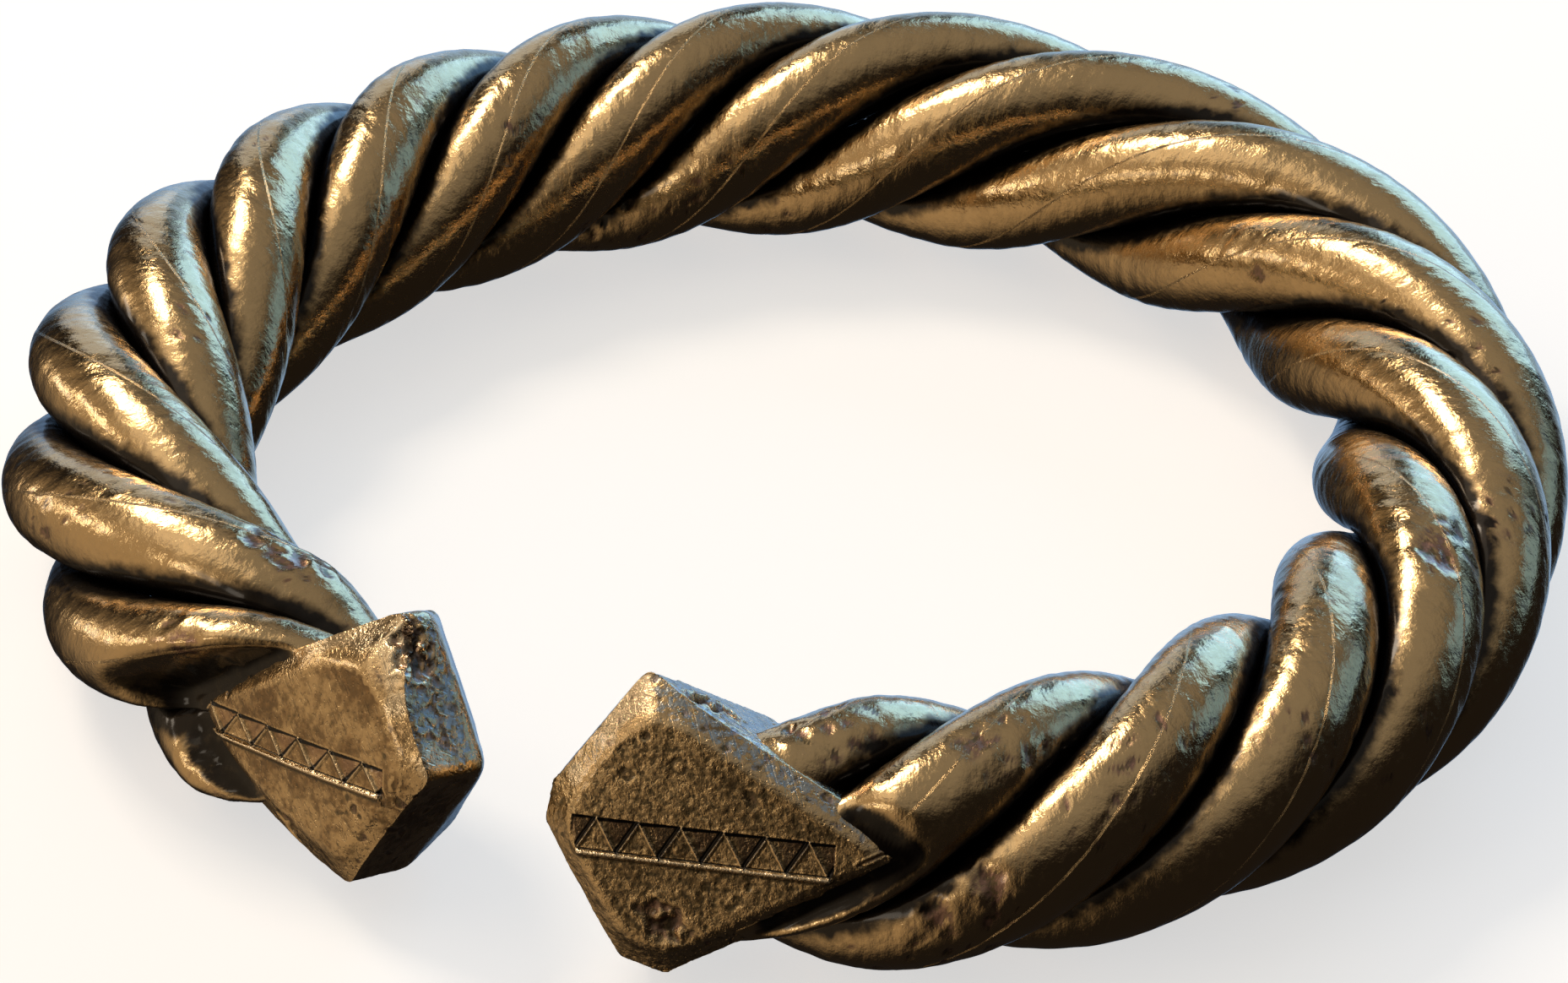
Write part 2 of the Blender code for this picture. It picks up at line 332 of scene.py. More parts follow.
# %% [markdown]
# Single marks.
# The larger dents and the corroded zones of the rods can be told apart, so each has its own
# place and size here. A dent is an uneven bowl with a slight rim, as a knock leaves it in soft
# metal. A corroded zone is lumpy and full of pits in its middle and fades out around it.

# %% Single marks
ROD_MARKS = (
    # place in mm, reach in mm, depth in mm
    ((-27.9, -20.2, 13.9), 1.2, 0.26), ((-30.3, -19.4, 14.8), 0.9, 0.20),
    ((-29.3, -20.1, 14.4), 0.8, 0.18), ((-26.5, -20.2, 13.0), 1.0, 0.22),
    ((-28.6, -20.9, 14.2), 0.7, 0.20), ((37.1, -19.9, 14.8), 1.7, 0.24),
    ((37.9, -20.9, 14.5), 1.1, 0.16), ((29.4, 13.1, 11.1), 0.9, 0.12),
    ((11.4, -43.1, 9.2), 1.3, 0.28), ((8.4, -43.2, 7.3), 1.0, 0.22),
    ((-33.0, -26.6, 4.8), 0.8, 0.22), ((-32.3, -27.2, 4.3), 0.7, 0.18),
    ((0.3, -36.4, 13.1), 1.6, 0.36), ((1.6, -36.6, 13.4), 0.9, 0.24),
    ((10.4, -38.1, 15.0), 1.3, 0.14), ((-33.7, -26.1, 12.7), 1.2, 0.16),
)
CORRODED = (
    # middle of a corroded zone in mm, and its reach in mm
    ((-28.8, -20.0, 14.2), 4.2), ((-33.5, -26.0, 11.5), 4.0), ((3.0, -37.0, 14.0), 5.0),
    ((10.0, -43.0, 8.0), 4.5), ((12.0, -38.0, 14.6), 3.5), ((-32.5, -27.0, 5.0), 4.0),
    ((38.0, -19.0, 14.5), 3.5), ((41.5, -14.0, 13.0), 3.5),
)
MARK_EDGE = 0.55
MARK_GRAIN = 0.7 * MM
MARK_RIM = 0.10


def dented(points, marks):
    """Height of all the marks at each point: uneven bowls with a slight rim."""
    height = np.zeros(len(points))
    for place, reach, depth in marks:
        away = np.linalg.norm(points - np.array(place) * MM, axis=1) / (reach * MM)
        close = away < 1 + MARK_EDGE + 0.05
        if close.any():
            uneven = away[close] + MARK_EDGE * grain(points[close], MARK_GRAIN, 31.0)
            bowl = -depth * (1 - smooth_step(0.25, 1.0, uneven))
            rim = MARK_RIM * depth * np.exp(-((uneven - 1.15) / 0.2) ** 2)
            height[close] += (bowl + rim) * MM
    return height


def nearness(points, zones):
    """How near each point is to the middle of one of the zones, from 0 to 1."""
    share = np.zeros(len(points))
    for place, reach in zones:
        away = np.linalg.norm(points - np.array(place) * MM, axis=1) / (reach * MM)
        share = np.maximum(share, 1 - smooth_step(0.3, 1.0, away))
    return share


print(len(ROD_MARKS), "single dents and", len(CORRODED), "corroded zones on the rods")

# %% [markdown]
# Where the knobs sit.
# A knob grips the ends of the rods, so the rods have to know where it is. Each knob has its own
# directions: along to its nose, up its face, and out of its face. Its outline is a kite with
# blunt corners, given in those directions.

# %% Knob frames
KNOBS = {
    "left_knob": dict(
        angle=math.radians(233.7), nose=1, stand_out=5.0 * MM, rise=2.7 * MM,
        yaw=math.radians(-12.5), pitch=math.radians(12.4), roll=math.radians(17.5),
        band_tail=-13.7 * MM, band_nose=2.5 * MM, band_top=0.2 * MM, band_height=1.6 * MM,
        outline=[(5.8 * MM, 0.02), (1.3 * MM, 1.03), (-15.0 * MM, -0.01), (-11.2 * MM, -0.43),
                 (-3.6 * MM, -0.84), (-0.7 * MM, -0.94)],
        rim_depth=0.6 * MM,
    ),
    "right_knob": dict(
        angle=math.radians(-100.4), nose=-1, stand_out=4.3 * MM, rise=3.4 * MM,
        yaw=math.radians(0.7), pitch=math.radians(-0.9), roll=math.radians(22.6),
        band_tail=-9.7 * MM, band_nose=4.6 * MM, band_top=-0.1 * MM, band_height=2.0 * MM,
        outline=[(6.3 * MM, 0.14), (1.4 * MM, 0.97), (-15.1 * MM, -0.07), (-0.6 * MM, -1.10),
                 (2.0 * MM, -1.02), (6.6 * MM, -0.13)],
        rim_depth=1.2 * MM,
    ),
}
KNOB_HALF_HEIGHT = LAY_RADIUS + ROD_RADIUS + 0.65 * MM
TRIANGLES = 6


def knob_axes(spec):
    """The knob's middle, and its directions: to the nose, up the face, and out of the face."""
    step = 0.001
    angle = np.array((spec["angle"] - step, spec["angle"], spec["angle"] + step))
    before, point, after = centre_points(angle)
    along = after - before
    heading = math.atan2(along[1], along[0]) + (math.pi if spec["nose"] < 0 else 0) + spec["yaw"]
    pitch = spec["pitch"]
    nose = np.array((math.cos(heading) * math.cos(pitch), math.sin(heading) * math.cos(pitch),
                     math.sin(pitch)))
    level = np.array((math.sin(heading), -math.cos(heading), 0.0)) * spec["nose"]
    raised = np.cross(level, nose)
    raised = raised / np.linalg.norm(raised)
    raised = raised * math.copysign(1.0, raised[2])
    roll = spec["roll"]
    face = level * math.cos(roll) + raised * math.sin(roll)
    up = raised * math.cos(roll) - level * math.sin(roll)
    direction = point / np.linalg.norm(point)
    middle = point + direction * spec["stand_out"] + np.array((0, 0, spec["rise"])) + RING_MIDDLE
    return middle, nose, up, face


for name, spec in KNOBS.items():
    spec["axes"] = knob_axes(spec)
    print(name, "middle at", np.round(spec["axes"][0] / MM, 2), "mm")


def knob_coordinates(points, spec):
    """Places on the knob: along the nose, up the face, and depth below the face."""
    middle, nose, up, face = spec["axes"]
    away = points - middle
    return away @ nose, away @ up, -(away @ face)


def outside_outline(nose, up, spec):
    """Distance outside the outline of the face, negative inside it."""
    corners = np.array([(along, share * KNOB_HALF_HEIGHT) for along, share in spec["outline"]])
    furthest = np.full(nose.shape, -np.inf)
    for corner, after in zip(corners, np.roll(corners, -1, axis=0)):
        side = (after - corner) / np.linalg.norm(after - corner)
        furthest = np.maximum(furthest, (nose - corner[0]) * side[1] - (up - corner[1]) * side[0])
    return furthest


# %% [markdown]
# Room for the knobs.
# The real knobs were cast or hammered over the ends of the rods. Here the skin of the rods is
# pushed in below a knob's face and rim, so that nothing pokes through them. The push is
# averaged with that of neighbouring points and leaves a soft hollow. It is painted dark there,
# for the dirt that gathers in it and for the shade under the knob's edge.

# %% Room for the knobs
FACE_MARGIN = 0.6 * MM
UNDER_FACE = 0.45 * MM
UNDER_RIM = 1.5 * MM
GROOVE_SLOPE = 2.0
GROOVE_EVENING = 9
NEAR_KNOB = 8 * MM
BESIDE_KNOB = NEAR_KNOB / 2
# how deep the push and how near the outline, for the dirt and painted shade under a knob's edge
RIM_SHADE_AND_DIRT_PUSH = (0.1 * MM, 0.9 * MM)
RIM_SHADE_AND_DIRT_REACH = (0.5 * MM, 2.5 * MM)


def evened(grid, rounds):
    """The grid of stations by sides, averaged with its neighbours this many times."""
    for _ in range(rounds):
        longer = np.concatenate((grid[:1], grid, grid[-1:]))
        grid = (longer[:-2] + longer[1:-1] + longer[2:]) / 3
        grid = (np.roll(grid, 1, axis=1) + grid + np.roll(grid, -1, axis=1)) / 3
    return grid


def cleared_for(points, spec, shape):
    """The points, with those in a knob's room pushed in, and the dirt and painted shade that lie there.
    """
    face_way = spec["axes"][3]
    nose, up, depth = knob_coordinates(points, spec)
    outside = outside_outline(nose, up, spec)
    rim = spec["rim_depth"] * np.clip(1 + outside / FACE_MARGIN, 0, 1)
    wanted = UNDER_FACE + rim - GROOVE_SLOPE * np.maximum(outside, 0)
    near = (depth > -NEAR_KNOB) & (outside < BESIDE_KNOB)
    short = np.where(near, np.maximum(wanted - depth, 0), 0)
    soft = evened(short.reshape(shape), GROOVE_EVENING).ravel()
    push = soft + np.maximum(short - soft, 0) * smooth_step(0.0, UNDER_RIM, -outside)
    # Dirt and painted shade in the hollow under the knob's edge.
    dirt_and_shade = smooth_step(*RIM_SHADE_AND_DIRT_PUSH, soft) * (1 - smooth_step(*RIM_SHADE_AND_DIRT_REACH, outside))
    return points - face_way * push[:, None], dirt_and_shade


print("steepest hollow beside a knob:", round(math.degrees(math.atan(GROOVE_SLOPE))), "degrees")

# %% [markdown]
# The four rods.
# All the relief is added up along each point's own direction out of the rod, which keeps the
# section round. Where a rod faces its neighbours it is painted near black, for dirt and for the
# shade that falls between the rods. How hollow each place is gets measured on the finished mesh,
# because hands polish the rises and dirt fills the hollows.

# %% Make the four rods
ROD_PITS = 0.10
# Painted shade and dirt: a rod darkens from the first of these turns away from its outer side to the
# second, where it faces its neighbours.
CREVICE_SHADE_FROM = math.radians(52)
CREVICE_SHADE_TO = math.radians(100)
# how much of that dirt and painted shade darkens the rod
RIM_SHADE_AND_DIRT_SHARE = 0.85
SORE_DEPTH = 0.15 * MM
HOLLOW_ROUNDS = 6
HOLLOW_DEPTH = 0.03 * MM


def rod_relief(smooth, turns, length, rod):
    """Height of the worn skin over the smooth one, and how pitted it is."""
    shape = smooth.shape[:2]
    flat = smooth.reshape(-1, 3)
    eaten = nearness(flat, CORRODED)
    pits = pitting(flat, ROD_PITS, 3.0, eaten).reshape(shape)
    marks = dented(flat, ROD_MARKS).reshape(shape)
    lumps = (eaten * grain(flat, LUMP_SIZE, 41.0)).reshape(shape)
    swell = grain(flat, SWELL_SIZE, 21.0).reshape(shape)
    ripple = hammered(length, turns, rod)
    relief = SWELL_DEPTH * (swell - 0.5) + RIPPLE_DEPTH * (ripple - 0.4) - PIT_DEPTH * pits
    relief = relief + marks + LUMP_DEPTH * (lumps - 0.3 * eaten.reshape(shape))
    return relief, np.maximum(pits, np.clip(-marks / SORE_DEPTH, 0, 1))


def make_rod(rod):
    piece = pattern_bar.copy()
    piece.data = pattern_bar.data.copy()
    piece.name = f"twisted_rod_{rod + 1}"
    piece.data.name = piece.name
    bpy.context.collection.objects.link(piece)
    station, side = bar_places(piece)
    hearts, skin, reach, turns, length = rod_grid(rod)
    smooth = hearts[:, None, :] + skin * reach[..., None]
    relief, pitted = rod_relief(smooth, turns, length, rod)
    worn = (smooth + skin * relief[..., None]).reshape(-1, 3)
    dirt_and_shade = np.zeros(len(worn))
    for spec in KNOBS.values():
        worn, more = cleared_for(worn, spec, reach.shape)
        dirt_and_shade = np.maximum(dirt_and_shade, more)
    move_points(piece.data, worn.reshape(smooth.shape)[station, side])
    # Painted shade and dirt: the sides that face the other rods, and the hollows under the knobs, are
    # marked to go near black.
    around = np.broadcast_to(np.abs((turns + math.pi) % (2 * math.pi) - math.pi), reach.shape)
    crevice_shade_and_dirt = smooth_step(CREVICE_SHADE_FROM, CREVICE_SHADE_TO, around)
    crevice_shade_and_dirt = np.maximum(crevice_shade_and_dirt, RIM_SHADE_AND_DIRT_SHARE * dirt_and_shade.reshape(reach.shape))
    store(piece.data, "crevice_shade_and_dirt", crevice_shade_and_dirt[station, side])
    store(piece.data, "pitted", pitted[station, side])
    sheet = rolled_sheet(length, turns, rod)[station, side]
    course = piece.data.attributes.new("course", "FLOAT_VECTOR", "POINT")
    course.data.foreach_set("vector", sheet.astype(np.float32).ravel())
    piece.data.shade_smooth()
    store(piece.data, "hollow", 0.5 + hollow_of(piece.data, HOLLOW_ROUNDS) / HOLLOW_DEPTH)
    return piece


def nearest_gap(piece, node):
    """Largest distance from a sample of the piece's open points to the solid it stands for."""
    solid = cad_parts[node]
    tree = BVHTree.FromObject(solid, bpy.context.evaluated_depsgraph_get())
    sample = points_of(piece.data)[::97]
    for spec in KNOBS.values():
        if node.startswith("rod"):
            nose, up, depth = knob_coordinates(sample, spec)
            beside = outside_outline(nose, up, spec) > BESIDE_KNOB
            sample = sample[beside | (np.abs(depth) > 2 * NEAR_KNOB)]
    return max(tree.find_nearest(Vector(point))[3] for point in sample)


rods = [make_rod(rod) for rod in range(ROD_COUNT)]
bpy.data.objects.remove(pattern_bar, do_unlink=True)
for rod, piece in enumerate(rods):
    print(piece.name, triangle_count(piece), "triangles,",
          f"within {nearest_gap(piece, f'rod_{rod + 1}') / MM:.2f} mm of its solid")

# %% [markdown]
# A knob, first as a plain block.
# Each knob is a kite-shaped block, cast over the ends of the rods. The solid already has its
# true facets, so a copy of it is the best start. The copy's loose triangles are merged, and
# its hull fills the carved row. A voxel remesh then gives an even skin, like fresh wax.

# %% Plain block
COARSE_SKIN = 0.215 * MM


def plain_block(node, name):
    deselect_all()
    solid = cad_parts[node]
    block = bpy.data.objects.new(name, solid.data.copy())
    block.data.name = name
    block.data.materials.clear()
    bpy.context.collection.objects.link(block)
    select_only(block)
    bpy.context.tool_settings.mesh_select_mode = (True, False, False)
    bpy.ops.object.mode_set(mode="EDIT")
    bpy.ops.mesh.select_all(action="SELECT")
    bpy.ops.mesh.remove_doubles(threshold=1e-6)
    bpy.ops.mesh.convex_hull(join_triangles=True)
    bpy.ops.object.mode_set(mode="OBJECT")
    skin = block.modifiers.new("even_skin", "REMESH")
    skin.mode = "VOXEL"
    skin.voxel_size = COARSE_SKIN
    bpy.ops.object.modifier_apply(modifier=skin.name)
    return block


def refine(block, wanted):
    """Cuts each face whose middle the test picks into four."""
    faces = block.data.polygons
    centres = np.empty(len(faces) * 3)
    faces.foreach_get("center", centres)
    chosen = wanted(centres.reshape(-1, 3))
    block.data.vertices.foreach_set("select", np.zeros(len(block.data.vertices), dtype=bool))
    block.data.edges.foreach_set("select", np.zeros(len(block.data.edges), dtype=bool))
    faces.foreach_set("select", chosen)
    select_only(block)
    bpy.context.tool_settings.mesh_select_mode = (False, False, True)
    bpy.ops.object.mode_set(mode="EDIT")
    bpy.ops.mesh.subdivide(number_cuts=1)
    bpy.ops.object.mode_set(mode="OBJECT")


print(f"cells of the even skin: {COARSE_SKIN / MM:.3f} mm")

# %% [markdown]
# The cut row of triangles.
# Six upright triangles stand at the level of each face. The chisel cut those between them down
# on a slope that is deepest at a steep wall and at the top. A raised line runs along the foot,
# and each cut threw up a thin lip of metal, which catches the light. Shadow is painted dark into
# the corners of the cuts and under the foot, and a highlight pale onto the raised line and lips.

# %% Carved row
BAND_MARGIN = 0.6 * MM
CUT_DEPTH = 0.42 * MM
WALL_WIDTH = 0.09 * MM
FOOT_DEPTH = 0.14 * MM
FOOT_SLOPE = 0.10 * MM
FOOT_WALL = 0.06 * MM
RIDGE_BELOW = 0.20 * MM
RIDGE_HEIGHT = 0.22 * MM
RIDGE_WIDTH = 0.18 * MM
LINE_ABOVE = 0.10 * MM
ROW_FADE = 0.3 * MM
CORNER_SHADE = (0.05 * MM, 0.30 * MM)
LINE_SHADE = 0.10 * MM
BURR = 0.07 * MM
BURR_WIDTH = 0.08 * MM


def burr(distance):
    """A thin raised lip that the chisel left."""
    return BURR * np.exp(-(distance / BURR_WIDTH) ** 2)


def carved_row(nose, up, spec):
    """Height of the carved row, and its painted shadow and painted highlight at each place. The
    upright triangles stand, and those between them are cut down on a slope that ends in a steep wall."""
    start, end = spec["band_tail"], spec["band_nose"]
    pitch = (end - start) / TRIANGLES
    foot = spec["band_top"] - spec["band_height"]
    share = (up - foot) / spec["band_height"]
    inside = np.clip(share, 0, 1)
    nearest = np.clip(np.rint((nose - start) / pitch), 0, TRIANGLES)
    beside = ((nose - start) / pitch - nearest) * 2 * spec["nose"]
    lean = math.hypot(1, pitch / 2 / spec["band_height"])
    steep = (inside - beside) * pitch / 2 / lean
    gentle = (inside + beside) * pitch / 2 / lean
    top_wall = (1 - share) * spec["band_height"]
    within = (nose > start - 0.1 * pitch) & (nose < end + 0.1 * pitch) & (share > 0) & (share < 1)
    slope = np.clip((beside + inside) / np.maximum(2 * inside, 0.05), 0, 1)
    depth = CUT_DEPTH * (0.25 + 0.75 * inside) * slope
    depth = depth * smooth_step(0, WALL_WIDTH, steep) * smooth_step(0, WALL_WIDTH, top_wall)
    height = np.where(within, -depth, 0.0)
    ends = smooth_step(start - ROW_FADE, start, nose) * (1 - smooth_step(end, end + ROW_FADE, nose))
    below = foot + LINE_ABOVE - up
    groove = np.where(below > 0, 1 - below / FOOT_SLOPE, 1 + below / FOOT_WALL)
    ridge = np.exp(-((below - RIDGE_BELOW) / RIDGE_WIDTH) ** 2) * ends
    height = height - FOOT_DEPTH * np.clip(groove, 0, 1) * ends + RIDGE_HEIGHT * ridge
    lips = np.where(within, burr(gentle) + burr(steep + BURR_WIDTH), 0.0) * ends
    height = height + lips
    # Painted shadow: the corners under the steep wall and the top wall of each cut, and a line just under
    # the foot, are marked dark.
    corner = np.minimum(np.abs(steep - WALL_WIDTH), np.abs(top_wall - WALL_WIDTH))
    dark = np.where(within & (gentle > 0), 1 - smooth_step(*CORNER_SHADE, corner), 0.0)
    dark = np.maximum(dark, (1 - smooth_step(0, LINE_SHADE, np.abs(below + 0.02 * MM))) * ends)
    # The raised foot line and the lips get a painted highlight.
    return height, dark, np.maximum(ridge, 0.8 * lips / BURR)


def scored(nose, up, corners, width, depth):
    """Height of a thin closed line that is scored through these corners."""
    nearest = np.full(nose.shape, np.inf)
    for corner, after in zip(corners, corners[1:] + corners[:1]):
        ahead = np.array(after) - np.array(corner)
        share = ((nose - corner[0]) * ahead[0] + (up - corner[1]) * ahead[1]) / (ahead @ ahead)
        share = np.clip(share, 0, 1)
        gap = np.hypot(nose - corner[0] - share * ahead[0], up - corner[1] - share * ahead[1])
        nearest = np.minimum(nearest, gap)
    return -depth * np.clip(1 - nearest / width, 0, 1) + burr(nearest - 1.5 * width)


for name, spec in KNOBS.items():
    pitch = (spec["band_nose"] - spec["band_tail"]) / TRIANGLES
    print(name, f"has {TRIANGLES} triangles, each {pitch / MM:.1f} mm wide")

# %% [markdown]
# Wear and marks of the knobs.
# Hands wore the corners round and left bright stretches along the edges of the faces, which also
# carry a painted highlight. Knocks and decay left pits in groups. Each has its place here, in the
# knob's own directions. The right knob also has a small ring mark and a lozenge, which is scored
# like the row.

# %% Wear and marks of the knobs
EDGE_ROUNDS = 4
KNOB_WEAR = {
    # nose, up and depth in mm, reach in mm, rounds of smoothing
    "left_knob": (((1.2, 8.6, 3.0), 4.6, 34), ((3.4, 4.2, 1.0), 3.0, 10)),
    "right_knob": (((1.2, 8.0, 1.0), 3.4, 24),),
}
EDGE_ROUND = {
    # how far in from the outline the face starts to round off, and how much further near some
    # corners: nose and up in mm, reach in mm, extra width and extra depth in mm
    "left_knob": (1.6 * MM, (((0.8, 8.0), 5.0, 1.8, 1.5),)),
    "right_knob": (1.5 * MM, (((1.6, 7.6), 4.0, 1.0, 0.6), ((1.0, -8.6), 3.0, 0.6, 0.2))),
}
KNOB_MARKS = {
    "left_knob": (
        ((1.9, 7.2, 2.7), 1.35, 0.40), ((2.5, 6.1, 2.6), 1.30, 0.42), ((0.5, -2.8, 0.0), 0.45, 0.12),
        ((0.9, -3.0, 0.0), 0.35, 0.10), ((-5.4, -5.5, 0.3), 0.80, 0.30), ((-4.5, -6.2, 0.4), 0.50, 0.22),
        ((-6.2, -4.9, 0.2), 0.45, 0.16), ((2.6, -1.4, 0.0), 0.40, 0.12), ((1.0, 5.1, 0.0), 0.35, 0.08),
        ((2.9, 1.0, 0.0), 0.45, 0.10),
    ),
    "right_knob": (
        ((-2.7, 5.6, 3.9), 1.00, 0.60), ((-2.0, 6.1, 3.0), 0.95, 0.80), ((-1.4, 6.6, 2.4), 0.75, 0.50),
        ((-0.9, -5.9, 0.1), 1.20, 0.38), ((0.1, -5.2, 0.0), 0.80, 0.24), ((-2.1, -6.2, 0.1), 0.70, 0.14),
        ((3.1, -5.0, 0.0), 0.42, 0.26), ((2.9, -7.0, 0.2), 0.40, 0.14), ((0.9, 4.8, 0.0), 0.35, 0.08),
        ((-5.2, 1.9, 0.0), 0.55, 0.10), ((1.9, 2.6, 0.0), 0.50, 0.08),
    ),
}
RHOMBUS = ((-14.2 * MM, -0.95 * MM), (-12.75 * MM, -0.35 * MM),
           (-11.3 * MM, -1.15 * MM), (-12.75 * MM, -1.75 * MM))
RHOMBUS_LINE = 0.12 * MM
RHOMBUS_DEPTH = 0.16 * MM
RING_PLACE = (-1.06, 3.33)
RING_RADIUS = 0.42
RING_LINE = 0.13
RING_DEPTH = 0.05 * MM
POLISHED_AND_HIGHLIT_PLACES = {
    # places in mm that hands and cleaning left bright, with a painted highlight, and their reach in mm
    "left_knob": (((5.4, 0.9, 1.7), 1.7), ((1.2, 7.6, 0.2), 2.6), ((3.4, 4.2, 0.2), 1.6)),
    "right_knob": (((1.6, 7.0, 0.2), 1.9), ((3.6, 4.6, 0.3), 1.6), ((5.2, 2.2, 0.4), 1.4)),
}
WORN_AND_HIGHLIT_EDGE = {
    # stretches in mm where the edge of the face is worn bright and painted with a highlight, and their
    # reach in mm
    "left_knob": (((1.0, 8.0, 0.3), 6.0), ((-4.0, 5.4, 0.3), 4.5)),
    "right_knob": (((2.6, 7.0, 0.3), 5.5),),
}
# the facets that face these ways get slate: a blue-grey patina and a painted cool reflection
COOL_PATINA_AND_SHEEN_WAY = {"left_knob": (0.85, 0.45, -0.25), "right_knob": (-0.30, 0.85, -0.42)}
FACE_GRIT = {"left_knob": 0.014 * MM, "right_knob": 0.036 * MM}
COOL_GRIT = {"left_knob": 2.0, "right_knob": -0.6}


def in_knob(spec, places):
    """Points given along the nose, up the face and in depth, in millimetres, as places in the ring."""
    middle, nose, up, face = spec["axes"]
    places = np.atleast_2d(places) * MM
    return middle + places[:, :1] * nose + places[:, 1:2] * up - places[:, 2:] * face


def placed(spec, marks):
    """The same marks, with their places in the ring instead of on the knob."""
    return [(tuple(in_knob(spec, mark[0])[0] / MM), *mark[1:]) for mark in marks]


def wear_down(block, node, spec):
    """Smooths the block all over, and longer where hands or knocks wore its corners away."""
    everywhere = (in_knob(spec, (0, 0, 0))[0], 1.0, EDGE_ROUNDS)
    local = [(in_knob(spec, place)[0], reach * MM, rounds) for place, reach, rounds in KNOB_WEAR[node]]
    select_only(block)
    bpy.context.tool_settings.mesh_select_mode = (True, False, False)
    for place, reach, rounds in [everywhere] + local:
        near = np.linalg.norm(points_of(block.data) - place, axis=1) < reach
        block.data.vertices.foreach_set("select", near)
        bpy.ops.object.mode_set(mode="EDIT")
        bpy.ops.mesh.select_mode(type="VERT")
        bpy.ops.mesh.vertices_smooth(factor=0.5, repeat=rounds)
        bpy.ops.mesh.select_all(action="DESELECT")
        bpy.ops.object.mode_set(mode="OBJECT")


for node, marks in KNOB_MARKS.items():
    print(node, "has", len(marks), "single pits")

# %% [markdown]
# The face and its rounded edge.
# A cast face swells a little towards its middle, and wear bevels it off towards its outline,
# more at the top corner. The block is worn down first, and its faces are cut finer only where
# fine relief will come: near the face, and once more in the row.

# %% The worn face
CORNER_SOFTNESS = 0.5 * MM
BEND = 0.40
BELLY = {"left_knob": 0.40 * MM, "right_knob": 0.15 * MM}
SKIN_DEPTH = 4.5 * MM
ROW_DEPTH = 0.3 * MM


def soft_outline(nose, up, spec):
    """Distance outside the outline, with its corners rounded."""
    corners = np.array([(along, share * KNOB_HALF_HEIGHT) for along, share in spec["outline"]])
    total = np.zeros(nose.shape)
    for corner, after in zip(corners, np.roll(corners, -1, axis=0)):
        side = (after - corner) / np.linalg.norm(after - corner)
        distance = (nose - corner[0]) * side[1] - (up - corner[1]) * side[0]
        total += np.exp(np.clip(distance / CORNER_SOFTNESS, -60, 8))
    return CORNER_SOFTNESS * np.log(total)


def rounded_face(nose, up, depth, spec, node):
    """How far to lower each point of the face, so that it falls off towards its outline, and
    how near the worn edge it is, from 0 to 1."""
    width, corners = EDGE_ROUND[node]
    wide = np.full(nose.shape, width)
    deep = np.full(nose.shape, spec["rim_depth"])
    for (along, across), reach, wider, deeper in corners:
        close = 1 - smooth_step(0, 1, np.hypot(nose / MM - along, up / MM - across) / reach)
        wide = wide + close * wider * MM
        deep = deep + close * deeper * MM
    out = np.clip(1 + soft_outline(nose, up, spec) / wide, 0, 1.2)
    belly = BELLY[node] * np.clip(((nose / MM + 4) / 10) ** 2 + (up / MM / 7) ** 2, 0, 1.5)
    bevel = np.where(out < BEND, out ** 2 / (2 * BEND), out - BEND / 2) / (1 - BEND / 2)
    above = 1 - smooth_step(1.0, 1.5, depth / (deep + belly))
    lower = np.maximum(deep * bevel + belly - np.maximum(depth, 0), 0) * above
    return lower, np.clip(out, 0, 1) * above


def fine_block(node, spec):
    """The plain block, worn down, with small faces where fine relief will come."""
    start, end, top = spec["band_tail"], spec["band_nose"], spec["band_top"]
    foot = top - spec["band_height"]

    def on_skin(points):
        nose, up, depth = knob_coordinates(points, spec)
        return depth < SKIN_DEPTH

    def on_row(points):
        nose, up, depth = knob_coordinates(points, spec)
        along = (nose > start - BAND_MARGIN) & (nose < end + BAND_MARGIN)
        across = (up > foot - BAND_MARGIN) & (up < top + BAND_MARGIN)
        return (depth < ROW_DEPTH) & along & across

    block = plain_block(node, node.replace("knob", "faceted_knob"))
    wear_down(block, node, spec)
    refine(block, on_skin)
    refine(block, on_row)
    return block


for name, spec in KNOBS.items():
    slope = spec["rim_depth"] / EDGE_ROUND[name][0] / (1 - BEND / 2)
    print(name, f"has a bevel of {math.degrees(math.atan(slope)):.0f} degrees")

# %% [markdown]
# The two knobs.
# The face is lowered along its own direction, and all finer relief is added along each point's
# normal: cuts, pits, swelling, grit and soft waves. Polished places stay smooth. The meshes
# also carry how cool, polished, cut, dirty, sore and hollow each place is, for the finish. Cool
# stands for a blue-grey patina with a painted cool reflection, polished also for a painted
# highlight, and dirty also for painted shade.

# %% Make the two knobs
KNOB_PITS = 0.16
KNOB_PIT_DEPTH = 0.08 * MM
KNOB_SWELL_SIZE = 3.5 * MM
KNOB_SWELL_DEPTH = 0.05 * MM
GRIT_SIZE = 0.45 * MM
FINE_GRIT_SIZE = 0.22 * MM
WAVE_SIZE = 1.3 * MM
WAVE_DEPTH = 0.022 * MM
WORN_AND_HIGHLIT_EDGE_GRAIN = 1.2 * MM
KNOB_HOLLOW_ROUNDS = 8
KNOB_HOLLOW_DEPTH = 0.05 * MM


def cut_lines(nose, up, node, spec):
    """Height of all that was cut into the face, and its painted shadow and painted highlight."""
    row, dark, ridge_highlight = carved_row(nose, up, spec)
    if node == "right_knob":
        row = row + scored(nose, up, RHOMBUS, RHOMBUS_LINE, RHOMBUS_DEPTH)
        ring = np.hypot(nose / MM - RING_PLACE[0], up / MM - RING_PLACE[1]) - RING_RADIUS
        row = row - RING_DEPTH * np.exp(-(ring / RING_LINE) ** 2)
    return row, dark, ridge_highlight


